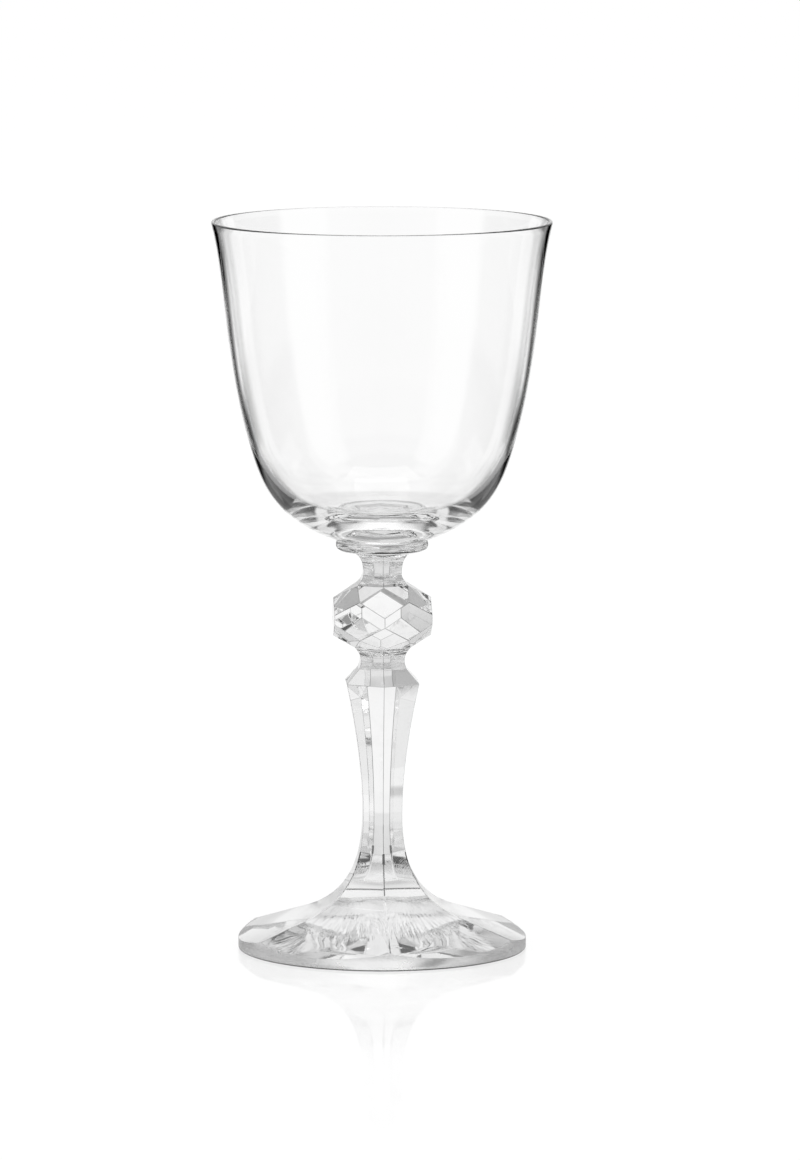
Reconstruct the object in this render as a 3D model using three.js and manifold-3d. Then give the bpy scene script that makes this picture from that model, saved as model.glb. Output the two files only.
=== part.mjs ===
// A stemmed cocktail glass: a wide blown bowl on a six-sided stem with a cut knop and a panelled foot.
// Millimetres, +Z up. The origin is the centre of the circle that the foot stands on.
// A size called a corner is measured from the axis to a ridge of the six-sided section.

import * as THREE from 'three';
import { mergeVertices } from 'three/addons/utils/BufferGeometryUtils.js';
import Module from 'manifold-3d';

// Foot
const FOOT_DIAMETER = 61.2;
const FOOT_EDGE_HEIGHT = 2.3; // at the middle of a panel, where the edge is lowest
const FOOT_RIDGE_FALL = 17.5; // degrees below level, on the straight part of a ridge
const FOOT_SKIRT_CORNER = 18; // where a ridge leaves the straight and sweeps up to the shank
const FOOT_HEIGHT = 20.8; // base to the seam with the shank
const FOOT_HOLLOW_DIAMETER = 46;
const FOOT_HOLLOW_DEPTH = 0.6;

// Shank, with heights above its seam with the foot
const SHANK_WAIST_CORNER = 4.77;
const SHANK_WAIST_RISE = 7.7;
const SHOULDER_CORNER = 8.85;
const SHOULDER_RISE = 36.2;
const SHOULDER_LEAN = 14.6; // degrees off upright, where the side reaches the shoulder
const BEVEL_CORNER = 5.85; // inner end of the bevel above the shoulder
const BEVEL_HEIGHT = 3;
const THROAT_CORNER = 5.35; // the waist that seats the knop
const THROAT_LOWER_HEIGHT = 2;
const THROAT_UPPER_HEIGHT = 2.7;

// Knop
const KNOP_ACROSS_FLATS = 20.7;
const KNOP_BELT_HEIGHT = 2.04; // length of the upright edges round the middle
const KNOP_UPPER_HEIGHT = 5.88;
const KNOP_LOWER_HEIGHT = 5.28;
const KNOP_TOP_CORNER = 6.25;
const KNOP_BOTTOM_CORNER = 6.78;

// Neck
const NECK_WAIST_CORNER = 4.66;
const NECK_TOP_CORNER = 7.2;
const NECK_LOWER_HEIGHT = 2.5;
const NECK_UPPER_HEIGHT = 4.6;

// Collar
const COLLAR_DIAMETER = 19.6;
const COLLAR_HEIGHT = 2.3;
const COLLAR_WIDEST_RISE = 1.35; // where the rounded edge reaches furthest out
const COLLAR_SEAT_MARGIN = 0.2; // flat left round the neck's corners

// Bowl, with heights above its seam with the collar
const RIM_DIAMETER = 72;
const RIM_WALL = 0.8;
const RIM_LEAN = 14; // degrees off upright, at the flare of the rim
const RIM_LEAN_INSIDE = 17.5; // more than outside, so that the wall thickens below the rim
const BOWL_HEIGHT = 67.7;
const HIP_DIAMETER = 55.9; // where the upright side turns in towards the floor
const HIP_HEIGHT = 20.3;
const HIP_LEAN = 16.6; // degrees off upright
const HIP_WALL = 1.45;
const BOWL_BASE_DIAMETER = 18.8;
const BOWL_BASE_LIFT = 18.8; // degrees above level, where the outside leaves the seam
const FLOOR_THICKNESS = 4.7;

// Curve handles, as shares of the stretch that each one shapes
const FLARE_PULL = 0.59;
const SHANK_WAIST_PULL = 0.35;
const SHOULDER_PULL = 0.28;
const THROAT_PULL = 0.45;
const NECK_LOWER_PULL = 0.5;
const NECK_UPPER_PULL = 0.8;
const RIM_PULL = 0.3;
const HIP_UPPER_PULL = 0.41;
const HIP_LOWER_PULL = 0.38;
const BASE_PULL = 0.8;
const FLOOR_PULL = 0.45;
const HALF_ROUND_PULL = 4 / 3; // the one that makes a half circle

// Facets
const STEM_SIDES = 6;
const COLLAR_SIDES = 48;
const BOWL_SIDES = 64;
const FOOT_EDGE_SIDES = 96;
const CURVE_STEPS = 7;
const CUT_ALLOWANCE = 1; // how far a cutting shape runs past the surface that it cuts

// Sizes that follow from those above
const HALF_PANEL = Math.PI / STEM_SIDES;
const FOOT_RADIUS = FOOT_DIAMETER / 2;
const RIDGE_SLOPE = Math.tan(THREE.MathUtils.degToRad(FOOT_RIDGE_FALL));
const BOWL_BASE_RADIUS = BOWL_BASE_DIAMETER / 2;
const SHANK_HEIGHT = SHOULDER_RISE + BEVEL_HEIGHT + THROAT_LOWER_HEIGHT + THROAT_UPPER_HEIGHT;
const KNOP_HEIGHT = KNOP_LOWER_HEIGHT + KNOP_BELT_HEIGHT + KNOP_UPPER_HEIGHT;
const NECK_HEIGHT = NECK_LOWER_HEIGHT + NECK_UPPER_HEIGHT;

const wasm = await Module();
wasm.setup();

function point(x, y) {
  return new THREE.Vector2(x, y);
}

// A step of the given length, the given degrees off upright, outwards and up.
function step(length, degreesOffUpright) {
  const angle = THREE.MathUtils.degToRad(degreesOffUpright);
  return point(length * Math.sin(angle), length * Math.cos(angle));
}

// A profile turned about Z. Six sides give flat panels, with a ridge facing -Y.
function turned(profile, sides) {
  return new THREE.LatheGeometry(profile, sides).rotateX(Math.PI / 2);
}

function toSolid(geometry) {
  const bare = geometry.clone();
  bare.deleteAttribute('normal');
  bare.deleteAttribute('uv');
  const merged = mergeVertices(bare);
  const corners = merged.index.array;
  const triangles = [];
  for (let i = 0; i < corners.length; i += 3) {
    const [a, b, c] = corners.slice(i, i + 3);
    if (a !== b && b !== c && c !== a) {
      triangles.push(a, b, c);
    }
  }
  return new wasm.Manifold(new wasm.Mesh({
    numProp: 3,
    vertProperties: new Float32Array(merged.attributes.position.array),
    triVerts: new Uint32Array(triangles),
  }));
}

function toGeometry(solid) {
  const mesh = solid.getMesh();
  const geometry = new THREE.BufferGeometry();
  geometry.setAttribute('position', new THREE.BufferAttribute(mesh.vertProperties, 3));
  geometry.setIndex(new THREE.BufferAttribute(mesh.triVerts, 1));
  geometry.computeVertexNormals();
  return geometry;
}

// The ridge line that sweeps from the foot's skirt up to the shank's waist, above the base.
function ridgeSweep() {
  const outerCorner = FOOT_RADIUS / Math.cos(HALF_PANEL);
  const skirtHeight = FOOT_EDGE_HEIGHT + RIDGE_SLOPE * (outerCorner - FOOT_SKIRT_CORNER);
  const waistHeight = FOOT_HEIGHT + SHANK_WAIST_RISE;
  const run = FLARE_PULL * (FOOT_SKIRT_CORNER - SHANK_WAIST_CORNER);
  const drop = FLARE_PULL * (waistHeight - skirtHeight);
  return new THREE.CubicBezierCurve(
    point(FOOT_SKIRT_CORNER, skirtHeight),
    point(FOOT_SKIRT_CORNER - run, skirtHeight + RIDGE_SLOPE * run),
    point(SHANK_WAIST_CORNER, waistHeight - drop),
    point(SHANK_WAIST_CORNER, waistHeight),
  );
}

// Where along a rising curve it passes a height, found by halving.
function shareAtHeight(curve, height) {
  let low = 0;
  let high = 1;
  while (high - low > Number.EPSILON) {
    const middle = (low + high) / 2;
    if (curve.getPoint(middle).y < height) {
      low = middle;
    } else {
      high = middle;
    }
  }
  return high;
}

function stretch(curve, from, to) {
  const points = [];
  for (let i = 0; i <= CURVE_STEPS; i += 1) {
    points.push(curve.getPoint(from + (to - from) * i / CURVE_STEPS));
  }
  return points;
}

function makeFoot() {
  const sweep = ridgeSweep();
  const seam = shareAtHeight(sweep, FOOT_HEIGHT);
  const sweepPoints = stretch(sweep, 0, seam);
  const seamCorner = sweepPoints[CURVE_STEPS].x;
  const skirt = sweepPoints[0];
  const beyond = FOOT_RADIUS / Math.cos(HALF_PANEL) + CUT_ALLOWANCE;
  const panels = turned([
    point(0, 0),
    point(beyond, 0),
    point(beyond, skirt.y - RIDGE_SLOPE * (beyond - skirt.x)),
    ...sweepPoints.slice(0, CURVE_STEPS),
    point(seamCorner, FOOT_HEIGHT),
    point(0, FOOT_HEIGHT),
  ], STEM_SIDES);

  const edge = turned([
    point(0, -CUT_ALLOWANCE),
    point(FOOT_RADIUS, -CUT_ALLOWANCE),
    point(FOOT_RADIUS, FOOT_HEIGHT + CUT_ALLOWANCE),
    point(0, FOOT_HEIGHT + CUT_ALLOWANCE),
  ], FOOT_EDGE_SIDES);

  const hollowRadius = FOOT_HOLLOW_DIAMETER / 2;
  const dome = new THREE.Path();
  dome.moveTo(0, -CUT_ALLOWANCE);
  dome.lineTo(hollowRadius, -CUT_ALLOWANCE);
  dome.lineTo(hollowRadius, 0);
  dome.quadraticCurveTo(hollowRadius / 2, FOOT_HOLLOW_DEPTH, 0, FOOT_HOLLOW_DEPTH);
  const hollow = turned(dome.getPoints(CURVE_STEPS), FOOT_EDGE_SIDES);

  return toGeometry(toSolid(panels).intersect(toSolid(edge)).subtract(toSolid(hollow)));
}

function makeShank() {
  const sweep = ridgeSweep();
  const sweepPoints = stretch(sweep, shareAtHeight(sweep, FOOT_HEIGHT), 1);
  const sideHeight = SHOULDER_RISE - SHANK_WAIST_RISE;
  const shoulderPull = step(SHOULDER_PULL * sideHeight, SHOULDER_LEAN);
  const bevelTop = SHOULDER_RISE + BEVEL_HEIGHT;
  const throat = bevelTop + THROAT_LOWER_HEIGHT;

  const side = new THREE.Path();
  side.moveTo(SHANK_WAIST_CORNER, SHANK_WAIST_RISE);
  side.bezierCurveTo(
    SHANK_WAIST_CORNER, SHANK_WAIST_RISE + SHANK_WAIST_PULL * sideHeight,
    SHOULDER_CORNER - shoulderPull.x, SHOULDER_RISE - shoulderPull.y,
    SHOULDER_CORNER, SHOULDER_RISE,
  );
  side.lineTo(BEVEL_CORNER, bevelTop);
  side.quadraticCurveTo(
    THROAT_CORNER, throat - (1 - THROAT_PULL) * THROAT_LOWER_HEIGHT,
    THROAT_CORNER, throat,
  );
  side.quadraticCurveTo(
    THROAT_CORNER, throat + THROAT_PULL * THROAT_UPPER_HEIGHT,
    KNOP_BOTTOM_CORNER, SHANK_HEIGHT,
  );

  const lower = sweepPoints.slice(1, CURVE_STEPS).map((p) => point(p.x, p.y - FOOT_HEIGHT));
  return turned([
    point(0, 0),
    point(sweepPoints[0].x, 0),
    ...lower,
    ...side.getPoints(CURVE_STEPS),
    point(0, SHANK_HEIGHT),
  ], STEM_SIDES);
}

// Two six-sided barrels, half a panel apart: one carries the belt facets and triangles, the other the kites.
function makeKnop() {
  const beltCorner = KNOP_ACROSS_FLATS / 2 / Math.cos(HALF_PANEL);
  const beltLow = KNOP_LOWER_HEIGHT;
  const beltHigh = KNOP_LOWER_HEIGHT + KNOP_BELT_HEIGHT;
  const tipReach = KNOP_ACROSS_FLATS / 2 * Math.cos(HALF_PANEL);
  const lowerShare = (tipReach - KNOP_BOTTOM_CORNER) / (beltCorner - KNOP_BOTTOM_CORNER);
  const upperShare = (tipReach - KNOP_TOP_CORNER) / (beltCorner - KNOP_TOP_CORNER);

  const triangles = turned([
    point(0, 0),
    point(KNOP_BOTTOM_CORNER, 0),
    point(beltCorner, lowerShare * KNOP_LOWER_HEIGHT),
    point(beltCorner, KNOP_HEIGHT - upperShare * KNOP_UPPER_HEIGHT),
    point(KNOP_TOP_CORNER, KNOP_HEIGHT),
    point(0, KNOP_HEIGHT),
  ], STEM_SIDES);

  const widen = 1 / Math.cos(HALF_PANEL);
  const kites = turned([
    point(0, 0),
    point(KNOP_BOTTOM_CORNER * widen, 0),
    point(beltCorner * widen, beltLow),
    point(beltCorner * widen, beltHigh),
    point(KNOP_TOP_CORNER * widen, KNOP_HEIGHT),
    point(0, KNOP_HEIGHT),
  ], STEM_SIDES).rotateZ(HALF_PANEL);

  return toGeometry(toSolid(triangles).intersect(toSolid(kites)));
}

function makeNeck() {
  const side = new THREE.Path();
  side.moveTo(0, 0);
  side.lineTo(KNOP_TOP_CORNER, 0);
  side.quadraticCurveTo(
    NECK_WAIST_CORNER, (1 - NECK_LOWER_PULL) * NECK_LOWER_HEIGHT,
    NECK_WAIST_CORNER, NECK_LOWER_HEIGHT,
  );
  side.quadraticCurveTo(
    NECK_WAIST_CORNER, NECK_LOWER_HEIGHT + NECK_UPPER_PULL * NECK_UPPER_HEIGHT,
    NECK_TOP_CORNER, NECK_HEIGHT,
  );
  side.lineTo(0, NECK_HEIGHT);
  return turned(side.getPoints(CURVE_STEPS), STEM_SIDES);
}

function makeCollar() {
  const radius = COLLAR_DIAMETER / 2;
  const side = new THREE.Path();
  side.moveTo(0, 0);
  side.lineTo(NECK_TOP_CORNER + COLLAR_SEAT_MARGIN, 0);
  side.quadraticCurveTo(radius, 0, radius, COLLAR_WIDEST_RISE);
  side.quadraticCurveTo(radius, COLLAR_HEIGHT, BOWL_BASE_RADIUS, COLLAR_HEIGHT);
  side.lineTo(0, COLLAR_HEIGHT);
  return turned(side.getPoints(CURVE_STEPS), COLLAR_SIDES);
}

function makeBowl() {
  const lip = RIM_WALL / 2;
  const sideHeight = BOWL_HEIGHT - lip - HIP_HEIGHT;
  const rimPull = step(RIM_PULL * sideHeight, RIM_LEAN);
  const rimPullInside = step(RIM_PULL * sideHeight, RIM_LEAN_INSIDE);
  const hipUp = step(HIP_UPPER_PULL * sideHeight, HIP_LEAN);
  const hipDown = step(HIP_LOWER_PULL * HIP_HEIGHT, HIP_LEAN);

  const rimOut = point(RIM_DIAMETER / 2, BOWL_HEIGHT - lip);
  const hipOut = point(HIP_DIAMETER / 2, HIP_HEIGHT);
  const base = point(BOWL_BASE_RADIUS, 0);
  const basePull = step(BASE_PULL * (hipOut.x - base.x), 90 - BOWL_BASE_LIFT);

  const rimIn = point(rimOut.x - RIM_WALL, rimOut.y);
  const hipIn = hipOut.clone().add(step(HIP_WALL, HIP_LEAN - 90));
  const fall = step((hipIn.y - FLOOR_THICKNESS) / Math.cos(THREE.MathUtils.degToRad(HIP_LEAN)), HIP_LEAN);

  const wall = new THREE.Path();
  wall.moveTo(0, 0);
  wall.lineTo(base.x, base.y);
  wall.bezierCurveTo(
    base.x + basePull.x, base.y + basePull.y,
    hipOut.x - hipDown.x, hipOut.y - hipDown.y,
    hipOut.x, hipOut.y,
  );
  wall.bezierCurveTo(
    hipOut.x + hipUp.x, hipOut.y + hipUp.y,
    rimOut.x - rimPull.x, rimOut.y - rimPull.y,
    rimOut.x, rimOut.y,
  );
  wall.bezierCurveTo(
    rimOut.x, rimOut.y + HALF_ROUND_PULL * lip,
    rimIn.x, rimIn.y + HALF_ROUND_PULL * lip,
    rimIn.x, rimIn.y,
  );
  wall.bezierCurveTo(
    rimIn.x - rimPullInside.x, rimIn.y - rimPullInside.y,
    hipIn.x + hipUp.x, hipIn.y + hipUp.y,
    hipIn.x, hipIn.y,
  );
  wall.bezierCurveTo(
    hipIn.x - fall.x, hipIn.y - fall.y,
    FLOOR_PULL * hipIn.x, FLOOR_THICKNESS,
    0, FLOOR_THICKNESS,
  );
  return turned(wall.getPoints(CURVE_STEPS), BOWL_SIDES);
}

function clearGlass(color, roughness) {
  return new THREE.MeshStandardMaterial({
    color,
    roughness,
    metalness: 0,
    transparent: true,
    opacity: 0.35,
  });
}

// Each piece stands on the one before it, fused to it across a flat seam.
const pieces = [
  { name: 'foot', geometry: makeFoot(), height: FOOT_HEIGHT, material: clearGlass(0xe9eeee, 0.04) },
  { name: 'shank', geometry: makeShank(), height: SHANK_HEIGHT, material: clearGlass(0xecf0f0, 0.03) },
  { name: 'knop', geometry: makeKnop(), height: KNOP_HEIGHT, material: clearGlass(0xeef2f2, 0.02) },
  { name: 'neck', geometry: makeNeck(), height: NECK_HEIGHT, material: clearGlass(0xecf0f0, 0.03) },
  { name: 'collar', geometry: makeCollar(), height: COLLAR_HEIGHT, material: clearGlass(0xeaefef, 0.03) },
  { name: 'bowl', geometry: makeBowl(), height: BOWL_HEIGHT, material: clearGlass(0xf4f7f7, 0.02) },
];

const glass = new THREE.Group();
let seam = 0;
for (const { name, geometry, height, material } of pieces) {
  const mesh = new THREE.Mesh(geometry, material);
  mesh.name = name;
  mesh.position.z = seam;
  glass.add(mesh);
  seam += height;
}

export default glass;
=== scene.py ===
"""Looks of a stemmed cocktail glass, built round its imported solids.

A blown bowl stands on a collar, a six-sided neck, a cut knop, a six-sided shank and a panelled foot.
Each piece is shaped in millimetres about the upright axis, and scaled to metres when it is finished.
"""

import logging
import math
from dataclasses import dataclass, field
from enum import Enum, IntEnum

import bmesh
import bpy
from mathutils import Matrix, Vector
from mathutils.geometry import interpolate_bezier


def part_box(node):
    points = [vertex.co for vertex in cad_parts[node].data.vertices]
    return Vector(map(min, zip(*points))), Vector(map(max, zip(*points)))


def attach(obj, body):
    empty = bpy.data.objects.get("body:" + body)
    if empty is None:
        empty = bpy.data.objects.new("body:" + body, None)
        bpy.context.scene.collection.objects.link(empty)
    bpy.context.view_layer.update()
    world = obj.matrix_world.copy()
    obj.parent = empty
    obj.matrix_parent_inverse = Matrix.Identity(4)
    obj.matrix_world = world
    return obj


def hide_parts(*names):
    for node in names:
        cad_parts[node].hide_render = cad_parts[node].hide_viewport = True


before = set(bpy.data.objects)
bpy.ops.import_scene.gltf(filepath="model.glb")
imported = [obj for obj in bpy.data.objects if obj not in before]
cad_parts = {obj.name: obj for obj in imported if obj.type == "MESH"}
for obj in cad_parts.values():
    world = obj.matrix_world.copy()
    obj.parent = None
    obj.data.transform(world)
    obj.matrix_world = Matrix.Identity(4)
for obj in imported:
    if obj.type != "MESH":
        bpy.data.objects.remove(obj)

log = logging.getLogger("cocktail_glass")

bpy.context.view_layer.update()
MM = 0.001
STEM_SIDES = 6
HALF_PANEL = math.pi / STEM_SIDES
UPRIGHT = Vector((0, 0, 1))
TOUCH = 0.002  # mm, closer than this is the same place
SHANK_WAIST_RISE = 7.7  # mm, from the shank's lower seam
WHITE = (1.0, 1.0, 1.0, 1.0)


class Slot(Enum):
    """Material slots of the record; each piece notes its slot, and its finish is given on its own."""

    BLOWN = "blown_glass"
    CUT = "cut_glass"


class Face(IntEnum):
    """Places in a piece's list of materials."""

    GLASS = 0
    SEAM = 1
    ARRIS = 2


class ShankFace(IntEnum):
    """Places of the shank's own materials in its list."""

    THROAT = 3


class FootFace(IntEnum):
    """Places of the foot's own materials in its list."""

    UNDERSIDE = 2
    STANDING_RING = 3
    RIM_EDGE = 4
    PAINTED_SHADE_ARRIS = 5


class NodeBoard:
    """A node tree with short calls to add and wire nodes."""

    def __init__(self, tree: bpy.types.NodeTree) -> None:
        """Takes over a tree and empties it."""
        self.tree = tree
        self.tree.nodes.clear()

    def add(self, kind: str, settings: dict | None = None, **values: object) -> bpy.types.Node:
        """Adds a node, sets its properties, and sets or wires its inputs.

        Args:
            kind: The node's type, without the leading word ShaderNode.
            settings: Properties of the node itself.
            values: Inputs by name, with underscores for spaces; a socket is wired, a value is set.

        Returns:
            The new node.
        """
        node = self.tree.nodes.new("ShaderNode" + kind)
        for name, value in (settings or {}).items():
            setattr(node, name, value)
        for name, value in values.items():
            self.feed(node.inputs[name.replace("_", " ")], value)
        return node

    def feed(self, socket: bpy.types.NodeSocket, value: object) -> None:
        """Wires a socket to another, or sets its own value.

        Args:
            socket: The input.
            value: A socket to wire it to, or a value to set.
        """
        if isinstance(value, bpy.types.NodeSocket):
            self.tree.links.new(value, socket)
        else:
            socket.default_value = value

    def math(self, operation: str, *values: object) -> bpy.types.NodeSocket:
        """Adds one step of arithmetic.

        Args:
            operation: The Math node's operation.
            values: Its inputs in order, sockets or numbers.

        Returns:
            The result's socket.
        """
        node = self.tree.nodes.new("ShaderNodeMath")
        node.operation = operation
        for socket, value in zip(node.inputs, values):
            self.feed(socket, value)
        return node.outputs[0]

    def mix(self, share: object, first: object, second: object) -> bpy.types.NodeSocket:
        """Mixes two shaders.

        Args:
            share: How much of the second shader shows.
            first: The first shader's socket.
            second: The second shader's socket.

        Returns:
            The mixed shader's socket.
        """
        node = self.tree.nodes.new("ShaderNodeMixShader")
        for socket, value in zip(node.inputs, (share, first, second)):
            self.feed(socket, value)
        return node.outputs[0]


@dataclass(frozen=True)
class GlassFinish:
    """Colourless glass with the slight unevenness that its making leaves.

    Sizes and heights are in millimetres. The tint is what two crossings of the surface let through.
    """

    name: str
    wave_size: float
    wave_height: float
    grain_size: float
    grain_height: float
    haze: float = 0.0
    satin: float = 0.0
    tint: float = 1.0
    drawn: float = 1.0
    index: float = 1.52
    lamp_pass: float = 0.93

    def bump(self, board: NodeBoard) -> bpy.types.NodeSocket:
        """Makes the surface's slow waves and fine grain.

        Args:
            board: The material's nodes.

        Returns:
            The bumped normal's socket.
        """
        place = board.add("TexCoord").outputs["Object"]
        drawn = board.add("Mapping", Vector=place, Scale=(1.0, 1.0, self.drawn)).outputs["Vector"]
        waves = board.add(
            "TexNoise", Vector=drawn, Scale=1 / (self.wave_size * MM), Detail=1.5, Distortion=0.4
        )
        grain = board.add("TexNoise", Vector=place, Scale=1 / (self.grain_size * MM), Detail=2.0)
        slow = board.add("Bump", Distance=self.wave_height * MM, Height=waves.outputs[0])
        fine = board.add(
            "Bump", Distance=self.grain_height * MM, Height=grain.outputs[0], Normal=slow.outputs[0]
        )
        return fine.outputs["Normal"]

    def roughness(self, board: NodeBoard) -> bpy.types.NodeSocket:
        """Makes the faint patches where the polish is less than perfect.

        Args:
            board: The material's nodes.

        Returns:
            The roughness socket.
        """
        place = board.add("TexCoord").outputs["Object"]
        patches = board.add("TexNoise", Vector=place, Scale=1 / (4 * MM), Detail=4.0)
        spread = board.add(
            "MapRange", Value=patches.outputs[0], From_Min=0.45, From_Max=0.75,
            To_Min=self.satin, To_Max=self.satin + self.haze,
        )
        return spread.outputs[0]

    def material(self) -> bpy.types.Material:
        """Makes the material.

        Returns:
            Glass that bends what is behind it, and lets the lamps' light on to the floor.
        """
        made = bpy.data.materials.new(self.name)
        made.use_nodes = True
        board = NodeBoard(made.node_tree)
        glass = board.add(
            "BsdfPrincipled",
            Base_Color=(self.tint, self.tint, self.tint, 1.0),
            IOR=self.index,
            Transmission_Weight=1.0,
            Roughness=self.roughness(board) if self.haze else 0.0,
            Normal=self.bump(board),
        )
        clear = board.add("BsdfTransparent", Color=(self.lamp_pass, self.lamp_pass, self.lamp_pass, 1.0))
        to_lamp = board.add("LightPath").outputs["Is Shadow Ray"]
        surface = board.mix(to_lamp, glass.outputs[0], clear.outputs[0])
        board.add("OutputMaterial", Surface=surface)
        return made


@dataclass(frozen=True)
class ChilledFinish(GlassFinish):
    """Pressed glass with the wrinkles that spread from one side of a base that cooled too soon."""

    wrinkles: float = 30.0
    wrinkle_start: float = 22.0
    wrinkle_length: float = 12.0
    wrinkle_height: float = 0.2
    wrinkle_reach: float = 19.0

    def bump(self, board: NodeBoard) -> bpy.types.NodeSocket:
        """Makes wrinkles that fan out and fade, over the slow waves and fine grain.

        Args:
            board: The material's nodes.

        Returns:
            The bumped normal's socket.
        """
        place = board.add("TexCoord").outputs["Object"]
        level = board.add("Mapping", Vector=place, Scale=(1.0, 1.0, 0.0)).outputs["Vector"]
        radius = board.add("VectorMath", {"operation": "LENGTH"}, Vector=level).outputs["Value"]
        start = (0.0, -self.wrinkle_start * MM, 0.0)
        aside = board.add("Mapping", Vector=level, Location=start).outputs["Vector"]
        outward = board.add("VectorMath", {"operation": "NORMALIZE"}, Vector=aside).outputs["Vector"]
        away = board.add("VectorMath", {"operation": "LENGTH"}, Vector=aside).outputs["Value"]
        along = board.add("CombineXYZ", Z=board.math("DIVIDE", away, self.wrinkle_length * MM))
        fan = board.add(
            "Mapping", Vector=outward, Location=along.outputs[0], Scale=(self.wrinkles, self.wrinkles, 0.0)
        )
        folds = board.add("TexNoise", Vector=fan.outputs[0], Scale=1.0, Detail=2.0, Distortion=0.3)
        fade = board.add(
            "MapRange", {"interpolation_type": "SMOOTHSTEP"}, Value=radius,
            From_Min=0.6 * self.wrinkle_reach * MM, From_Max=self.wrinkle_reach * MM, To_Min=1.0, To_Max=0.0,
        )
        height = board.math("MULTIPLY", folds.outputs[0], fade.outputs[0])
        wrinkled = board.add(
            "Bump", Distance=self.wrinkle_height * MM, Height=height, Normal=super().bump(board)
        )
        return wrinkled.outputs["Normal"]


@dataclass(frozen=True)
class SeamFinish:
    """The plane inside the glass where two pieces are fused, which can't be seen."""

    name: str = "fused_seam"

    def material(self) -> bpy.types.Material:
        """Makes the material: light crosses the seam unchanged.

        Returns:
            A clear material.
        """
        made = bpy.data.materials.new(self.name)
        made.use_nodes = True
        board = NodeBoard(made.node_tree)
        clear = board.add("BsdfTransparent", Color=WHITE)
        board.add("OutputMaterial", Surface=clear.outputs[0])
        return made


class Outline:
    """A profile in the half-plane that faces -Y, drawn as radius and height in millimetres."""

    def __init__(self, radius: float, height: float) -> None:
        """Starts the profile at a point."""
        self.points: list[Vector] = [self.place(radius, height)]

    @staticmethod
    def place(radius: float, height: float) -> Vector:
        """Gives the point of a radius and a height."""
        return Vector((0.0, -radius, height))

    def line(self, radius: float, height: float, steps: int = 1) -> "Outline":
        """Draws a straight stretch.

        Args:
            radius: Radius at its end.
            height: Height at its end.
            steps: Number of edges.

        Returns:
            The outline itself.
        """
        start, end = self.points[-1], self.place(radius, height)
        self.points += [start.lerp(end, i / steps) for i in range(1, steps + 1)]
        return self

    def curve(self, first: tuple, second: tuple, end: tuple, steps: int = 24) -> "Outline":
        """Draws a curve with two handles.

        Args:
            first: Radius and height of the first handle.
            second: Radius and height of the second handle.
            end: Radius and height of the end.
            steps: Number of edges.

        Returns:
            The outline itself.
        """
        knots = [self.place(*p) for p in (first, second, end)]
        self.points += interpolate_bezier(self.points[-1], *knots, steps + 1)[1:]
        return self

    def turn(self, handle: tuple, end: tuple, steps: int = 12) -> "Outline":
        """Draws a curve with one handle.

        Args:
            handle: Radius and height of the handle.
            end: Radius and height of the end.
            steps: Number of edges.

        Returns:
            The outline itself.
        """
        pull = 2 / 3
        start, corner, stop = self.points[-1], self.place(*handle), self.place(*end)
        first, second = start.lerp(corner, pull), stop.lerp(corner, pull)
        self.points += interpolate_bezier(start, first, second, stop, steps + 1)[1:]
        return self

    def spin(self, mesh: bmesh.types.BMesh, steps: int) -> None:
        """Turns the profile about the axis into a surface, with its poles closed.

        Args:
            mesh: The mesh that takes the surface.
            steps: Number of sides.
        """
        verts = [mesh.verts.new(point) for point in self.points]
        edges = [mesh.edges.new(pair) for pair in zip(verts, verts[1:])]
        bmesh.ops.spin(
            mesh, geom=verts + edges, cent=(0, 0, 0), axis=UPRIGHT, angle=math.tau, steps=steps,
            use_merge=True,
        )
        bmesh.ops.remove_doubles(mesh, verts=mesh.verts, dist=TOUCH / 10)
        bmesh.ops.dissolve_degenerate(mesh, edges=mesh.edges, dist=TOUCH / 10)


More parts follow.
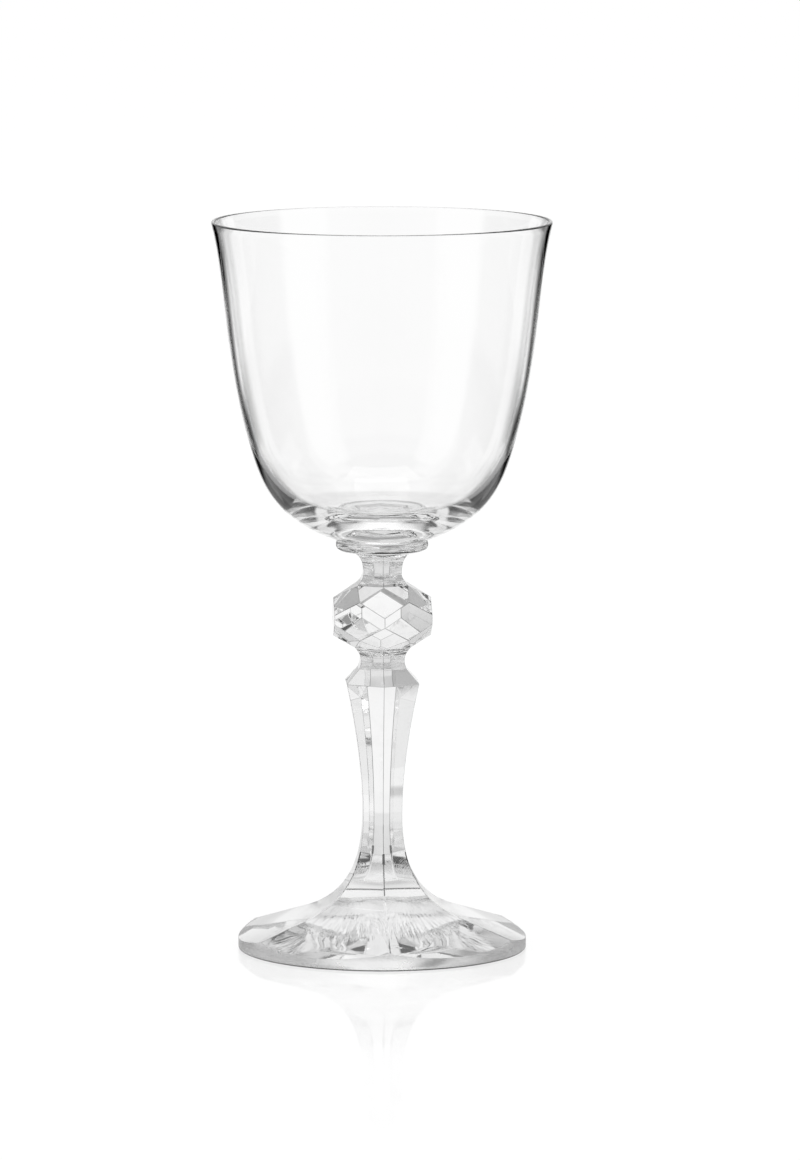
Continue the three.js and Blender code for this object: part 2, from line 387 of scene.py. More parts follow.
@dataclass
class GlassPiece:
    """One gather of glass, which stands for a solid of the frame."""

    node: str
    name: str
    slot: Slot
    finish: GlassFinish
    low: float = field(init=False)
    high: float = field(init=False)
    reach: float = field(init=False)

    def __post_init__(self) -> None:
        """Takes the piece's heights and reach from its solid, in millimetres."""
        low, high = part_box(self.node)
        self.low, self.high = low.z / MM, high.z / MM
        self.reach = max(high.x, high.y) / MM

    @property
    def seams(self) -> tuple[float, ...]:
        """Heights of the planes where the piece is fused to its neighbours."""
        return self.low, self.high

    def shape(self, mesh: bmesh.types.BMesh) -> None:
        """Models the piece in millimetres."""
        raise NotImplementedError

    def finishes(self) -> list[bpy.types.Material]:
        """Makes the piece's materials, in the order of Face."""
        return [self.finish.material(), SeamFinish().material()]

    def ridges(self, mesh: bmesh.types.BMesh) -> list[bmesh.types.BMEdge]:
        """Finds the upright arrises between the panels of a six-sided surface.

        Args:
            mesh: The mesh as it was spun.

        Returns:
            The edges that run along a ridge, away from the seams.
        """
        found = []
        for edge in mesh.edges:
            first, second = (v.co.xy for v in edge.verts)
            upright = first.length > TOUCH and second.length > TOUCH and len(edge.link_faces) == 2
            along = upright and abs(first.angle_signed(second)) < TOUCH
            if along and not self.on_seam(edge.verts):
                found.append(edge)
        return found

    def on_seam(self, verts: bmesh.types.BMVertSeq) -> bool:
        """Tells whether all these vertices lie on one seam."""
        return any(all(abs(v.co.z - seam) < TOUCH for v in verts) for seam in self.seams)

    @staticmethod
    def soften(
        mesh: bmesh.types.BMesh, edges: list, width: float, segments: int = 3, mark: Face = Face.GLASS
    ) -> None:
        """Rounds arrises, and keeps the facets beside them flat.

        Args:
            mesh: The mesh.
            edges: The arrises.
            width: Width taken from each facet, in millimetres.
            segments: Steps across the rounding.
            mark: Material of the rounding.
        """
        made = bmesh.ops.bevel(
            mesh, geom=edges, offset=width, offset_type="OFFSET", affect="EDGES",
            segments=segments, profile=0.5, material=-1, clamp_overlap=True,
        )
        strips = set(made["faces"])
        for strip in strips:
            strip.material_index = mark
            for edge in strip.edges:
                if any(side not in strips for side in edge.link_faces):
                    edge.smooth = False

    def part_faces(self, mesh: bmesh.types.BMesh) -> None:
        """Gives the seams their own material, and sharp edges round them.

        Args:
            mesh: The shaped piece.
        """
        for face in mesh.faces:
            face.smooth = True
            if self.on_seam(face.verts):
                face.material_index = Face.SEAM
                for edge in face.edges:
                    edge.smooth = False

    def make(self) -> bpy.types.Object:
        """Builds and dresses the piece, and sets it in the frame.

        Returns:
            The finished object.
        """
        mesh = bmesh.new()
        self.shape(mesh)
        bmesh.ops.recalc_face_normals(mesh, faces=mesh.faces)
        self.part_faces(mesh)
        bmesh.ops.scale(mesh, vec=(MM, MM, MM), verts=mesh.verts)
        data = bpy.data.meshes.new(self.name)
        mesh.to_mesh(data)
        mesh.free()
        for material in self.finishes():
            data.materials.append(material)
        piece = bpy.data.objects.new(self.name, data)
        bpy.context.scene.collection.objects.link(piece)
        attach(piece, "root")
        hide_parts(self.node)
        log.info("%s: %d faces, %.1f to %.1f mm high", self.name, len(data.polygons), self.low, self.high)
        return piece


@dataclass
class CutPiece(GlassPiece):
    """A piece of the stem, with arrises between its cut panels."""

    arris: float = 0.1

    def finishes(self) -> list[bpy.types.Material]:
        """Adds the finish of the arrises: rough, and greyed with painted shade."""
        return super().finishes() + [SOFT_ARRIS_SHADE.material()]


@dataclass
class Bowl(GlassPiece):
    """The blown cup: a wide U with a flared lip and a thick floor."""

    rim_wall: float = 0.8
    rim_lean: float = 14.0
    rim_lean_inside: float = 17.5
    hip_radius: float = 27.95
    hip_rise: float = 20.3
    hip_lean: float = 16.6
    hip_wall: float = 1.45
    base_radius: float = 9.4
    base_lift: float = 18.8
    floor: float = 4.7
    rim_pull: float = 0.3
    hip_upper_pull: float = 0.41
    hip_lower_pull: float = 0.38
    base_pull: float = 0.8
    floor_pull: float = 0.45
    sides: int = 192

    @property
    def seams(self) -> tuple[float, ...]:
        """The bowl is fused only at its base."""
        return (self.low,)

    @staticmethod
    def stray(length: float, lean: float) -> Vector:
        """Gives the step of a length that leans so many degrees off upright, as radius and height."""
        return Vector((length * math.sin(math.radians(lean)), length * math.cos(math.radians(lean))))

    def shape(self, mesh: bmesh.types.BMesh) -> None:
        """Spins the wall's profile: outside from the seam to the lip, and inside down to the floor.

        Args:
            mesh: The empty mesh that takes the piece.
        """
        lip = self.rim_wall / 2
        rim = Vector((self.reach, self.high - lip))
        hip = Vector((self.hip_radius, self.low + self.hip_rise))
        base = Vector((self.base_radius, self.low))
        tall = rim.y - hip.y
        rim_pull = self.stray(self.rim_pull * tall, self.rim_lean)
        rim_pull_inside = self.stray(self.rim_pull * tall, self.rim_lean_inside)
        hip_up = self.stray(self.hip_upper_pull * tall, self.hip_lean)
        hip_down = self.stray(self.hip_lower_pull * self.hip_rise, self.hip_lean)
        base_pull = self.stray(self.base_pull * (hip.x - base.x), 90 - self.base_lift)

        inner_rim = rim - Vector((self.rim_wall, 0))
        inner_hip = hip + self.stray(self.hip_wall, self.hip_lean - 90)
        floor = self.low + self.floor
        fall = self.stray((inner_hip.y - floor) / math.cos(math.radians(self.hip_lean)), self.hip_lean)
        crown = Vector((0, 4 / 3 * lip))

        wall = Outline(0, self.low).line(*base)
        wall.curve(base + base_pull, hip - hip_down, hip, 28)
        wall.curve(hip + hip_up, rim - rim_pull, rim, 30)
        wall.curve(rim + crown, inner_rim + crown, inner_rim, 12)
        wall.curve(inner_rim - rim_pull_inside, inner_hip + hip_up, inner_hip, 30)
        wall.curve(inner_hip - fall, (self.floor_pull * inner_hip.x, floor), (0, floor), 28)
        wall.spin(mesh, self.sides)


@dataclass
class Collar(GlassPiece):
    """The round pad between the stem and the bowl."""

    widest_rise: float = 1.35
    under_radius: float = 7.4
    top_radius: float = 9.4
    sides: int = 128

    def shape(self, mesh: bmesh.types.BMesh) -> None:
        """Spins the pad's rounded edge between its two seams.

        Args:
            mesh: The empty mesh that takes the piece.
        """
        widest = self.low + self.widest_rise
        edge = Outline(0, self.low).line(self.under_radius, self.low)
        edge.turn((self.reach, self.low), (self.reach, widest))
        edge.turn((self.reach, self.high), (self.top_radius, self.high))
        edge.line(0, self.high).spin(mesh, self.sides)


@dataclass
class Neck(CutPiece):
    """The short six-sided waist above the knop."""

    bottom_corner: float = 6.25
    waist_corner: float = 4.66
    waist_rise: float = 2.5
    top_corner: float = 7.2
    lower_pull: float = 0.5
    upper_pull: float = 0.8
    arris: float = 0.09

    def shape(self, mesh: bmesh.types.BMesh) -> None:
        """Spins the waist in six panels, and rounds its arrises.

        Args:
            mesh: The empty mesh that takes the piece.
        """
        waist = self.low + self.waist_rise
        lower = self.low + (1 - self.lower_pull) * self.waist_rise
        upper = waist + self.upper_pull * (self.high - waist)
        side = Outline(0, self.low).line(self.bottom_corner, self.low)
        side.turn((self.waist_corner, lower), (self.waist_corner, waist))
        side.turn((self.waist_corner, upper), (self.top_corner, self.high))
        side.line(0, self.high).spin(mesh, STEM_SIDES)
        self.soften(mesh, self.ridges(mesh), self.arris, mark=Face.ARRIS)


@dataclass
class Knop(CutPiece):
    """The cut ball of the stem, with a belt of hexagons between kites and triangles."""

    flat_radius: float = 10.35
    belt_low: float = 5.28
    belt_high: float = 7.32
    bottom_corner: float = 6.78
    top_corner: float = 6.25

    def ring(self, mesh: bmesh.types.BMesh, radius: float, height: float, turned: bool) -> None:
        """Adds six corners at one height.

        Args:
            mesh: The mesh that takes them.
            radius: Distance from the axis.
            height: Height above the piece's lower seam.
            turned: True if the corners stand between the stem's ridges.
        """
        start = Vector((0.0, -radius, self.low + height))
        for side in range(STEM_SIDES):
            angle = math.tau * side / STEM_SIDES + (HALF_PANEL if turned else 0.0)
            mesh.verts.new(Matrix.Rotation(angle, 3, "Z") @ start)

    def shape(self, mesh: bmesh.types.BMesh) -> None:
        """Wraps the facets round six rings of corners, and rounds the arrises between them.

        Args:
            mesh: The empty mesh that takes the piece.
        """
        tall = self.high - self.low
        belt_corner = self.flat_radius / math.cos(HALF_PANEL)
        tip = self.flat_radius * math.cos(HALF_PANEL)
        lower_share = (tip - self.bottom_corner) / (belt_corner - self.bottom_corner)
        upper_share = (tip - self.top_corner) / (belt_corner - self.top_corner)
        self.ring(mesh, self.bottom_corner, 0, False)
        self.ring(mesh, self.flat_radius, lower_share * self.belt_low, True)
        self.ring(mesh, belt_corner, self.belt_low, False)
        self.ring(mesh, belt_corner, self.belt_high, False)
        self.ring(mesh, self.flat_radius, tall - upper_share * (tall - self.belt_high), True)
        self.ring(mesh, self.top_corner, tall, False)
        bmesh.ops.convex_hull(mesh, input=mesh.verts)
        bmesh.ops.dissolve_limit(
            mesh, angle_limit=math.radians(1.0), verts=mesh.verts, edges=mesh.edges, delimit=set()
        )
        arrises = [edge for edge in mesh.edges if not self.on_seam(edge.verts)]
        self.soften(mesh, arrises, self.arris, 2, Face.ARRIS)


@dataclass
class RidgeSweep:
    """The ridge line that sweeps from the foot's skirt up to the shank's waist."""

    foot_radius: float
    waist_height: float
    edge_height: float = 2.3
    fall: float = 17.5
    skirt_corner: float = 18.0
    waist_corner: float = 4.77
    pull: float = 0.59
    steps: int = 60

    @property
    def slope(self) -> float:
        """Drop of the skirt's ridge for each step outwards."""
        return math.tan(math.radians(self.fall))

    @property
    def skirt_height(self) -> float:
        """Height at which the ridge leaves the straight skirt."""
        outer_corner = self.foot_radius / math.cos(HALF_PANEL)
        return self.edge_height + self.slope * (outer_corner - self.skirt_corner)

    def height_at(self, corner: float) -> float:
        """Height of the straight skirt's ridge at a distance from the axis."""
        return self.skirt_height - self.slope * (corner - self.skirt_corner)

    def points(self) -> list[tuple[float, float]]:
        """Gives the sweep from the skirt up to the waist.

        Returns:
            Pairs of corner distance and height.
        """
        run = self.pull * (self.skirt_corner - self.waist_corner)
        drop = self.pull * (self.waist_height - self.skirt_height)
        sweep = Outline(self.skirt_corner, self.skirt_height)
        sweep.curve(
            (self.skirt_corner - run, self.skirt_height + self.slope * run),
            (self.waist_corner, self.waist_height - drop),
            (self.waist_corner, self.waist_height),
            self.steps,
        )
        return [(-point.y, point.z) for point in sweep.points]

    def corner_at(self, height: float) -> float:
        """Gives the ridge's distance from the axis at a height on the sweep.

        Args:
            height: A height between the skirt and the waist.

        Returns:
            The distance, in millimetres.
        """
        pairs = self.points()
        for (near, low), (far, high) in zip(pairs, pairs[1:]):
            if low <= height <= high:
                return near + (far - near) * (height - low) / (high - low)
        return self.waist_corner


@dataclass
class Shank(CutPiece):
    """The six-sided leg, with its shoulder and the throat that seats the knop."""

    sweep: RidgeSweep = None
    shoulder_corner: float = 8.85
    shoulder_rise: float = 36.2
    shoulder_lean: float = 14.6
    bevel_corner: float = 5.85
    bevel_height: float = 3.0
    throat_corner: float = 5.35
    throat_lower: float = 2.0
    top_corner: float = 6.78
    waist_pull: float = 0.35
    shoulder_pull: float = 0.28
    throat_pull: float = 0.45
    arris: float = 0.09

    @property
    def bevel_top(self) -> float:
        """Height at which the shoulder's bevel meets the throat."""
        return self.low + self.shoulder_rise + self.bevel_height

    def finishes(self) -> list[bpy.types.Material]:
        """Adds the finish of the throat: wheel-cut, and greyed with painted shade."""
        return super().finishes() + [WHEEL_CUT_AND_SHADE.material()]

    def part_faces(self, mesh: bmesh.types.BMesh) -> None:
        """Marks the seams and the throat.

        Args:
            mesh: The shaped shank.
        """
        super().part_faces(mesh)
        for face in mesh.faces:
            if face.material_index == Face.GLASS and face.calc_center_median().z > self.bevel_top:
                face.material_index = ShankFace.THROAT

    def shape(self, mesh: bmesh.types.BMesh) -> None:
        """Spins the leg in six panels, and rounds its arrises and shoulder.

        Args:
            mesh: The empty mesh that takes the piece.
        """
        waist = self.sweep.waist_corner, self.sweep.waist_height
        shoulder = Vector((self.shoulder_corner, self.low + self.shoulder_rise))
        tall = shoulder.y - waist[1]
        pull = Bowl.stray(self.shoulder_pull * tall, self.shoulder_lean)
        throat = self.bevel_top + self.throat_lower

        side = Outline(0, self.low).line(self.sweep.corner_at(self.low), self.low)
        for corner, height in self.sweep.points():
            if height > self.low + TOUCH:
                side.line(corner, height)
        side.curve((waist[0], waist[1] + self.waist_pull * tall), shoulder - pull, shoulder, 32)
        side.line(self.bevel_corner, self.bevel_top, 3)
        side.turn(
            (self.throat_corner, throat - (1 - self.throat_pull) * self.throat_lower),
            (self.throat_corner, throat),
        )
        side.turn(
            (self.throat_corner, throat + self.throat_pull * (self.high - throat)),
            (self.top_corner, self.high),
        )
        side.line(0, self.high).spin(mesh, STEM_SIDES)
        level = [
            edge for edge in mesh.edges
            if all(abs(v.co.z - shoulder.y) < TOUCH for v in edge.verts)
        ]
        self.soften(mesh, self.ridges(mesh) + level, self.arris, mark=Face.ARRIS)


@dataclass
class Foot(GlassPiece):
    """The spreading foot: six panels trimmed to a round edge, and hollow underneath."""

    sweep: RidgeSweep = None
    hollow_radius: float = 23.0
    hollow_depth: float = 0.6
    arris: float = 0.3
    edge_round: float = 0.45
    base_round: float = 0.35
    # Height from which the ridges' arrises take painted shade, and its width as a share of the arris.
    shade_arris_from: float = 12.5
    shade_arris_share: float = 0.6
    skirt_steps: int = 6
    edge_sides: int = 240
    hollow_rings: int = 14

    @property
    def seams(self) -> tuple[float, ...]:
        """The foot is fused only at its top."""
        return (self.high,)

    def finishes(self) -> list[bpy.types.Material]:
        """Adds the finishes of the underside, the standing ring, the upright edge and the arrises darkened
        with painted shade.
        """
        own = PRESSED_UNDERSIDE, WORN_RING, SATIN_EDGE, FOOT_ARRIS_SHADE
        return super().finishes() + [finish.material() for finish in own]

    def shape(self, mesh: bmesh.types.BMesh) -> None:
        """Spins the panels, trims them round, and drops the edge and the hollow base from the trim.

        Args:
            mesh: The empty mesh that takes the piece.
        """
        self.spin_panels(mesh)
        self.trim_round(mesh)
        edge, base = self.drop_edge(mesh)
        self.hollow_out(mesh, base)
        self.round_edges(mesh, edge, base)

    def spin_panels(self, mesh: bmesh.types.BMesh) -> None:
        """Spins the six panels from the seam down to past the round edge.

        Args:
            mesh: The empty mesh.
        """
        beyond = self.reach / math.cos(HALF_PANEL) + 1.0
        side = Outline(0, self.high).line(self.sweep.corner_at(self.high), self.high)
        for corner, height in reversed(self.sweep.points()):
            if height < self.high - TOUCH:
                side.line(corner, height)
        side.line(beyond, self.sweep.height_at(beyond), self.skirt_steps)
        side.spin(mesh, STEM_SIDES)
        self.soften(mesh, self.ridges(mesh), self.arris)

    def trim_round(self, mesh: bmesh.types.BMesh) -> None:
        """Cuts the panels off along the round edge.

        Args:
            mesh: The spun panels.
        """
        for side in range(self.edge_sides):
            angle = math.tau * side / self.edge_sides
            out = Vector((math.sin(angle), -math.cos(angle), 0.0))
            bmesh.ops.bisect_plane(
                mesh, geom=mesh.verts[:] + mesh.edges[:] + mesh.faces[:], dist=TOUCH / 10,
                plane_co=out * self.reach, plane_no=out, clear_outer=True,
            )
        bmesh.ops.remove_doubles(mesh, verts=mesh.verts, dist=TOUCH)

    @staticmethod
    def drawn_out(mesh: bmesh.types.BMesh, edges: list) -> tuple[list, list]:
        """Extrudes a loop of edges.

        Args:
            mesh: The mesh.
            edges: The loop.

        Returns:
            The new loop's vertices and edges.
        """
        made = bmesh.ops.extrude_edge_only(mesh, edges=edges)["geom"]
        verts = [item for item in made if isinstance(item, bmesh.types.BMVert)]
        fresh = set(verts)
        loop = [
            item for item in made
            if isinstance(item, bmesh.types.BMEdge) and fresh.issuperset(item.verts)
        ]
        return verts, loop

    def drop_edge(self, mesh: bmesh.types.BMesh) -> tuple[list, list]:
        """Drops the upright edge from the trim to the level that the foot stands on.

        Args:
            mesh: The trimmed panels.

        Returns:
            The scalloped loop along the top of the edge, and the level loop below it.
        """
        scallop = [edge for edge in mesh.edges if edge.is_boundary]
        verts, base = self.drawn_out(mesh, scallop)
        bmesh.ops.scale(mesh, vec=(1, 1, 0), verts=verts)
        return scallop, base

    def hollow_out(self, mesh: bmesh.types.BMesh, base: list) -> None:
        """Closes the base with a flat ring and a shallow hollow.

        Args:
            mesh: The panels and edge.
            base: The level loop at the foot of the edge.
        """
        radius = self.reach
        loop, height = base, 0.0
        for ring in range(self.hollow_rings):
            share = 1 - ring / self.hollow_rings
            wider, radius = radius, self.hollow_radius * share
            lift = self.hollow_depth * (1 - share ** 2) - height
            height += lift
            verts, loop = self.drawn_out(mesh, loop)
            bmesh.ops.scale(mesh, vec=(radius / wider, radius / wider, 1), verts=verts)
            bmesh.ops.translate(mesh, vec=(0, 0, lift), verts=verts)
        verts, loop = self.drawn_out(mesh, loop)
        bmesh.ops.pointmerge(mesh, verts=verts, merge_co=(0, 0, self.hollow_depth))

    def round_edges(self, mesh: bmesh.types.BMesh, scallop: list, base: list) -> None:
        """Rounds the top and bottom of the upright edge."""
        self.soften(mesh, scallop, self.edge_round, 4)
        self.soften(mesh, [edge for edge in base if edge.is_valid], self.base_round, 3)

    @staticmethod
    def off_ridge(place: Vector) -> float:
        """Measures how far a place is from the nearest ridge.

        Args:
            place: The place on the foot.

        Returns:
            The distance, level and across the ridge.
        """
        turn = math.atan2(place.x, -place.y) / (2 * HALF_PANEL)
        return place.xy.length * abs(math.sin((turn - round(turn)) * 2 * HALF_PANEL))

    def part_faces(self, mesh: bmesh.types.BMesh) -> None:
        """Marks the seam, the hollow, the ring that touches the table, the upright edge and the arrises that
        take painted shade.

        Args:
            mesh: The shaped foot.
        """
        super().part_faces(mesh)
        for face in mesh.faces:
            middle = face.calc_center_median()
            clear = face.material_index == Face.GLASS
            # Painted shade: the arrises of the upper ridges turn nearly black, as dark lines along the
            # ridges.
            if clear and middle.z > self.shade_arris_from and self.off_ridge(middle) < self.shade_arris_share * self.arris:
                face.material_index = FootFace.PAINTED_SHADE_ARRIS
            if abs(face.normal.z) < 0.05 and middle.xy.length > self.reach - self.edge_round:
                face.material_index = FootFace.RIM_EDGE
            if face.normal.z < -0.05 and middle.z < self.hollow_depth + TOUCH:
                in_hollow = middle.xy.length < self.hollow_radius
                face.material_index = FootFace.UNDERSIDE if in_hollow else FootFace.STANDING_RING
                # Painted shade: the rounding at the bottom of the edge turns nearly black, as a dark line
                # where the foot meets the table.
                if middle.xy.length > self.reach - self.base_round:
                    face.material_index = FootFace.PAINTED_SHADE_ARRIS


@dataclass(frozen=True)
class RoomRing:
    """Brightness of a ring of the room or the table round the glass, as the glass sees it. The table's rings
    are painted light and shade in the floor's glow.

    Each stop is an angle from straight behind the glass round to the camera, with a level where 1 is white.
    """

    stops: tuple[tuple[float, float], ...]

    def level(self, board: NodeBoard, angle: bpy.types.NodeSocket) -> bpy.types.NodeSocket:
        """Reads the ring at an angle.

        Args:
            board: The world's nodes.
            angle: Socket of the angle, where 0 is behind and 1 is at the camera.

        Returns:
            The level's socket.
        """
        node = board.add("ValToRGB", Fac=angle)
        marks = node.color_ramp.elements
        while len(marks) < len(self.stops):
            marks.new(1.0)
        for mark, (place, level) in zip(marks, self.stops):
            mark.position = place / 180
            mark.color = (level, level, level, 1.0)
        return node.outputs["Color"]


CEILING = RoomRing(((0, 0.9), (48, 0.8), (60, 0.4), (112, 0.4), (120, 0.02), (180, 0.0)))
UPPER_WALL = RoomRing(
    ((0, 0.66), (11, 0.97), (25, 1.0), (30, 0.5), (47, 0.7), (53, 0.1), (98, 0.05), (104, 0.88), (138, 0.88),
     (141, 0.06), (180, 0.04))
)
MIDDLE_WALL = RoomRing(
    ((0, 0.45), (5, 0.95), (24, 0.95), (28, 0.6), (33, 0.75), (40, 0.87), (80, 0.8), (84, 0.05), (100, 0.05),
     (104, 0.88), (138, 0.9), (141, 0.6), (180, 0.45))
)
LOWER_WALL = RoomRing(
    ((0, 0.95), (10, 0.95), (20, 0.8), (26, 0.6), (31, 0.08), (39, 0.08), (41, 0.87), (50, 0.87), (53, 0.05),
     (100, 0.05), (104, 0.88), (138, 0.9), (141, 0.7), (180, 0.6))
)
SKIRTING = RoomRing(
    ((0, 1.0), (8, 1.0), (14, 0.6), (24, 0.3), (30, 0.3), (34, 0.85), (50, 0.87), (53, 0.3), (61, 0.3),
     (66, 0.5), (98, 0.5), (103, 0.95), (138, 0.95), (141, 0.7), (180, 0.7))
)
# Rings of the table: painted shade in the floor's glow, seen only in the glass. The table is darkened round
# the foot, as if in the glass's own shadow, and in dark sectors to either side behind.
FAR_TABLE_PAINTED_SHADE = RoomRing(
    ((0, 1.0), (11, 1.0), (14, 0.75), (18, 0.0), (26, 0.0), (29, 0.3), (33, 1.0), (50, 0.95), (105, 0.9),
     (106, 1.0), (139, 1.0), (140, 0.9), (180, 0.95))
)
MIDDLE_TABLE_PAINTED_SHADE = RoomRing(
    ((0, 1.0), (14, 1.0), (19, 0.35), (22, 0.0), (32, 0.05), (37, 0.5), (54, 0.6), (60, 0.8), (105, 0.8),
     (106, 1.0), (139, 1.0), (140, 0.83), (180, 0.8))
)
NEAR_TABLE_PAINTED_SHADE = RoomRing(
    ((0, 0.97), (14, 0.95), (18, 0.4), (33, 0.45), (38, 0.9), (92, 0.85), (106, 1.0), (139, 1.0), (140, 0.88),
     (180, 0.88))
)
SHADED_TABLE = RoomRing(
    ((0, 0.83), (13, 0.85), (17, 0.4), (41, 0.45), (46, 0.85), (92, 0.8), (106, 0.95), (180, 0.9))
)
ROUND_FOOT_PAINTED_SHADE = RoomRing(
    ((0, 0.8), (6, 0.5), (14, 0.35), (36, 0.35), (41, 0.8), (92, 0.75), (106, 0.95), (180, 0.9))
)
FOOT_EDGE_PAINTED_SHADE = RoomRing(((0, 0.8), (8, 0.6), (40, 0.5), (92, 0.5), (106, 0.85), (132, 0.85), (180, 0.7)))
UNDER_FOOT_PAINTED_SHADE = RoomRing(((0, 0.9), (30, 0.65), (60, 0.55), (100, 0.55), (112, 0.75), (150, 0.7), (180, 0.65)))


@dataclass
class Studio:
    """Room, floor, lamp and camera."""

    camera_azimuth: float = -3.0
    camera_distance: float = 1.705
    camera_height: float = 0.30225
    aim_height: float = 0.0787
    aim_right: float = 0.0038
    field_of_view: float = 8.17
    floor_radius: float = 6.0
    floor_gap: float = 0.00005
    floor_tone: float = 0.95
    floor_matt: float = 0.12
    floor_gloss: float = 0.22
    gloss_roughness: float = 0.04
    gloss_from: float = 0.03
    gloss_to: float = 0.24
    soft_light: float = 1.06
    lamp_power: float = 6.0
    lamp_size: float = 1.2
    lamp_height: float = 1.6

    def build(self) -> None:
        """Sets the whole studio round the glass."""
        self.set_world()
        self.lay_floor()
        self.hang_lamp()
        self.place_camera()

    def bearing(self, azimuth: float, distance: float, height: float) -> Vector:
        """Gives a place by its azimuth, where 0 is on the -Y side and +X is to its right."""
        turn = math.radians(azimuth)
        return Vector((math.sin(turn) * distance, -math.cos(turn) * distance, height))

    def set_world(self) -> None:
        """Lights the room: white to the eye, and panels and dark corners in the glass."""
        scene = bpy.context.scene
        scene.view_settings.view_transform = "Standard"
        scene.cycles.max_bounces = 24
        scene.cycles.transmission_bounces = 24
        scene.cycles.glossy_bounces = 12
        scene.cycles.transparent_max_bounces = 32
        scene.world = bpy.data.worlds.new("white_room")
        scene.world.use_nodes = True
        board = NodeBoard(scene.world.node_tree)
        path = board.add("LightPath").outputs
        seen = board.add("Background", Color=WHITE, Strength=1.0)
        through = board.add("Background", Color=self.room_level(board), Strength=1.0)
        soft = board.add("Background", Color=WHITE, Strength=self.soft_light)
        bent = board.math("MAXIMUM", path["Is Glossy Ray"], path["Is Transmission Ray"])
        room = board.mix(bent, soft.outputs[0], through.outputs[0])
        room = board.mix(path["Is Camera Ray"], room, seen.outputs[0])
        board.add("OutputWorld", Surface=room)

    def angle_from_back(self, board: NodeBoard, way: bpy.types.NodeSocket) -> bpy.types.NodeSocket:
        """Finds how far a direction is turned from straight behind the glass.

        Args:
            board: The nodes.
            way: Socket of the direction.

        Returns:
            Socket of the angle, where 0 is behind and 1 is at the camera.
        """
        parts = board.add("SeparateXYZ", Vector=way).outputs
        turned = board.math("ARCTAN2", parts["X"], board.math("MULTIPLY", parts["Y"], -1.0))
        offset = board.math("SUBTRACT", turned, math.radians(self.camera_azimuth + 180))
        return board.math("DIVIDE", board.math("PINGPONG", offset, math.pi), math.pi)

    @staticmethod
    def blend_rings(
        board: NodeBoard, angle: bpy.types.NodeSocket, place: bpy.types.NodeSocket, first: RoomRing,
        later: tuple[tuple[RoomRing, float, float], ...],
    ) -> bpy.types.NodeSocket:
        """Blends rings one after the other.

        Args:
            board: The nodes.
            angle: Socket of the angle from straight behind.
            place: Socket of the height or distance that the rings follow.
            first: The first ring.
            later: The other rings, each with the places where it starts and ends to take over.

        Returns:
            The level's socket.
        """
        level = first.level(board, angle)
        for ring, low, high in later:
            share = board.add(
                "MapRange", {"interpolation_type": "SMOOTHSTEP"}, Value=place, From_Min=low, From_Max=high
            )
            blend = board.add("MixRGB", Fac=share.outputs[0], Color1=level, Color2=ring.level(board, angle))
            level = blend.outputs[0]
        return level

    def room_level(self, board: NodeBoard) -> bpy.types.NodeSocket:
        """Blends the room's rings by height, in degrees.

        Args:
            board: The world's nodes.

        Returns:
            Socket of the room's brightness in each direction.
        """
        way = board.add("TexCoord").outputs["Generated"]
        lift = board.math("ARCSINE", board.add("SeparateXYZ", Vector=way).outputs["Z"])
        height = board.math("MULTIPLY", lift, 180 / math.pi)
        later = (LOWER_WALL, 4, 8), (MIDDLE_WALL, 14, 18), (UPPER_WALL, 28, 32), (CEILING, 47, 53)
        return self.blend_rings(board, self.angle_from_back(board, way), height, SKIRTING, later)

    def lay_floor(self) -> None:
        """Lays the floor: white to the eye, with the glass's shadow and a faint gloss.

        Rays that have met the glass see the table's rings instead: painted light and shade glowing from the
        floor.
        """
        mesh = bmesh.new()
        bmesh.ops.create_circle(mesh, cap_ends=True, segments=96, radius=self.floor_radius)
        bmesh.ops.translate(mesh, vec=(0, 0, -self.floor_gap), verts=mesh.verts)
        floor = self.stage_piece("floor", mesh)
        made = bpy.data.materials.new("pale_floor")
        made.use_nodes = True
        board = NodeBoard(made.node_tree)
        white = board.add("Emission", Color=WHITE, Strength=1.0)
        matt = board.add("BsdfDiffuse", Color=(self.floor_tone, self.floor_tone, self.floor_tone, 1.0))
        gloss = board.add("BsdfGlossy", Color=WHITE, Roughness=self.gloss_roughness)
        lit = board.mix(self.floor_matt, white.outputs[0], matt.outputs[0])
        place = board.add("TexCoord").outputs["Object"]
        away = board.add("VectorMath", {"operation": "LENGTH"}, Vector=place).outputs["Value"]
        polish = board.add(
            "MapRange", Value=away, From_Min=self.gloss_from, From_Max=self.gloss_to,
            To_Min=self.floor_gloss, To_Max=0.0,
        )
        seen = board.mix(polish.outputs[0], lit, gloss.outputs[0])
        # Painted shade: the table's rings, darker round the foot and in sectors behind, for rays that have
        # met the glass.
        later = (
            (FOOT_EDGE_PAINTED_SHADE, 0.033, 0.036), (ROUND_FOOT_PAINTED_SHADE, 0.08, 0.09), (SHADED_TABLE, 0.115, 0.125),
            (NEAR_TABLE_PAINTED_SHADE, 0.18, 0.2), (MIDDLE_TABLE_PAINTED_SHADE, 0.3, 0.4), (FAR_TABLE_PAINTED_SHADE, 0.48, 0.66),
        )
        level = self.blend_rings(board, self.angle_from_back(board, place), away, UNDER_FOOT_PAINTED_SHADE, later)
        # The floor glows with this painted light and shade for rays that have met the glass.
        through = board.add("Emission", Color=level, Strength=1.0)
        path = board.add("LightPath").outputs
        bent = board.math("MAXIMUM", path["Is Glossy Ray"], path["Is Transmission Ray"])
        board.add("OutputMaterial", Surface=board.mix(bent, seen, through.outputs[0]))
        floor.data.materials.append(made)

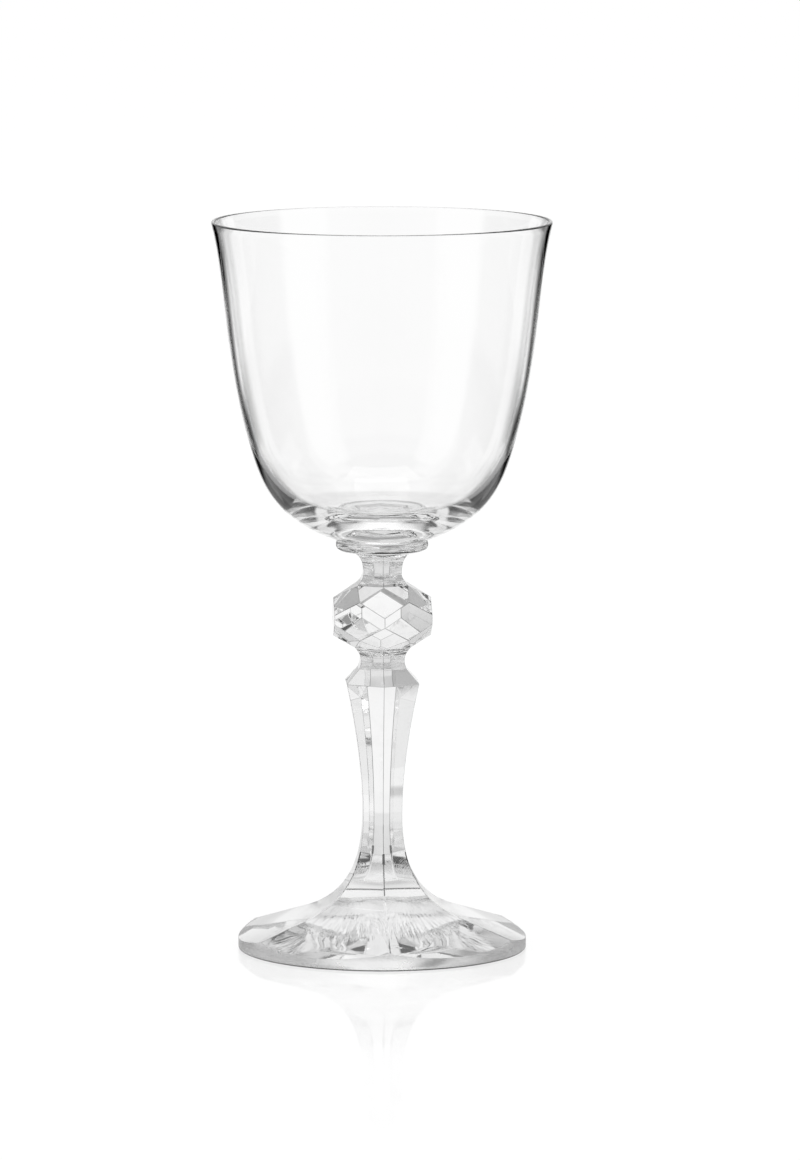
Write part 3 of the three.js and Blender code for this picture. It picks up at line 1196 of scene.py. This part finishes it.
    def stage_piece(self, name: str, mesh: bmesh.types.BMesh) -> bpy.types.Object:
        """Turns a mesh into an object of the stage.

        Args:
            name: The object's name.
            mesh: Its mesh, which is freed.

        Returns:
            The new object.
        """
        data = bpy.data.meshes.new(name)
        mesh.to_mesh(data)
        mesh.free()
        piece = bpy.data.objects.new(name, data)
        bpy.context.scene.collection.objects.link(piece)
        return piece

    def hang_lamp(self) -> None:
        """Hangs one large soft lamp above the glass."""
        lamp = bpy.data.lights.new("soft_lamp", "AREA")
        lamp.energy = self.lamp_power
        lamp.size = self.lamp_size
        hung = bpy.data.objects.new("soft_lamp", lamp)
        hung.location = (0.0, 0.0, self.lamp_height)
        hung.visible_camera = False
        bpy.context.scene.collection.objects.link(hung)

    def place_camera(self) -> None:
        """Places the camera at the photograph's angle."""
        camera = bpy.data.cameras.new("camera")
        camera.sensor_fit = "VERTICAL"
        camera.angle_y = math.radians(self.field_of_view)
        stand = bpy.data.objects.new("camera", camera)
        stand.location = self.bearing(self.camera_azimuth, self.camera_distance, self.camera_height)
        aim = self.bearing(self.camera_azimuth + 90, self.aim_right, self.aim_height)
        stand.rotation_euler = (aim - stand.location).to_track_quat("-Z", "Y").to_euler()
        bpy.context.scene.collection.objects.link(stand)
        bpy.context.scene.camera = stand


BLOWN_GLASS = GlassFinish("blown_glass", wave_size=14, wave_height=0.01, grain_size=3, grain_height=0.0004)
CUT_GLASS = GlassFinish(
    "cut_glass", wave_size=5, wave_height=0.008, grain_size=1.2, grain_height=0.0006, tint=0.93
)
# Rough like a softened arris, and greyed to a tint of 0.4: painted shade, as dark lines along the stem's cut
# arrises.
SOFT_ARRIS_SHADE = GlassFinish(
    "soft_arris_shade", wave_size=9, wave_height=0.004, grain_size=0.8, grain_height=0.0006,
    haze=0.05, satin=0.1, tint=0.4,
)
# Wheel-cut marks in the bump, and a grey tint of 0.72 that is painted shade, darkening the neck, the collar
# and the shank's throat.
WHEEL_CUT_AND_SHADE = GlassFinish(
    "wheel_cut_glass_and_shade", wave_size=6, wave_height=0.12, grain_size=1.2, grain_height=0.0006,
    tint=0.72, drawn=12,
)
PRESSED_UNDERSIDE = ChilledFinish(
    "pressed_underside", wave_size=9, wave_height=0.01, grain_size=1, grain_height=0.0006
)
WORN_RING = GlassFinish(
    "worn_ring", wave_size=9, wave_height=0.004, grain_size=0.8, grain_height=0.0006, haze=0.05
)
# Rough, and nearly black with a tint of 0.04: painted shade along the foot's upper ridges and round its base.
FOOT_ARRIS_SHADE = GlassFinish(
    "foot_arris_shade", wave_size=9, wave_height=0.004, grain_size=0.8, grain_height=0.0006,
    haze=0.05, satin=0.15, tint=0.04,
)
SATIN_EDGE = GlassFinish(
    "satin_edge", wave_size=9, wave_height=0.004, grain_size=0.8, grain_height=0.0006, haze=0.04, satin=0.25
)


def main() -> None:
    """Builds the glass from the foot up, then the studio round it."""
    logging.basicConfig(level=logging.INFO, format="%(message)s")
    foot_box, shank_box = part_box("foot"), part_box("shank")
    sweep = RidgeSweep(foot_radius=foot_box[1].x / MM, waist_height=shank_box[0].z / MM + SHANK_WAIST_RISE)
    pieces = [
        Foot("foot", "panelled_foot", Slot.CUT, CUT_GLASS, sweep=sweep),
        Shank("shank", "panelled_shank", Slot.CUT, CUT_GLASS, sweep=sweep),
        Knop("knop", "cut_knop", Slot.CUT, CUT_GLASS),
        # The neck and the collar take the wheel-cut finish with its painted shade.
        Neck("neck", "waisted_neck", Slot.CUT, WHEEL_CUT_AND_SHADE),
        Collar("collar", "collar_pad", Slot.CUT, WHEEL_CUT_AND_SHADE),
        Bowl("bowl", "blown_bowl", Slot.BLOWN, BLOWN_GLASS),
    ]
    for piece in pieces:
        piece.make()
    Studio().build()


if __name__ == "__main__":
    main()
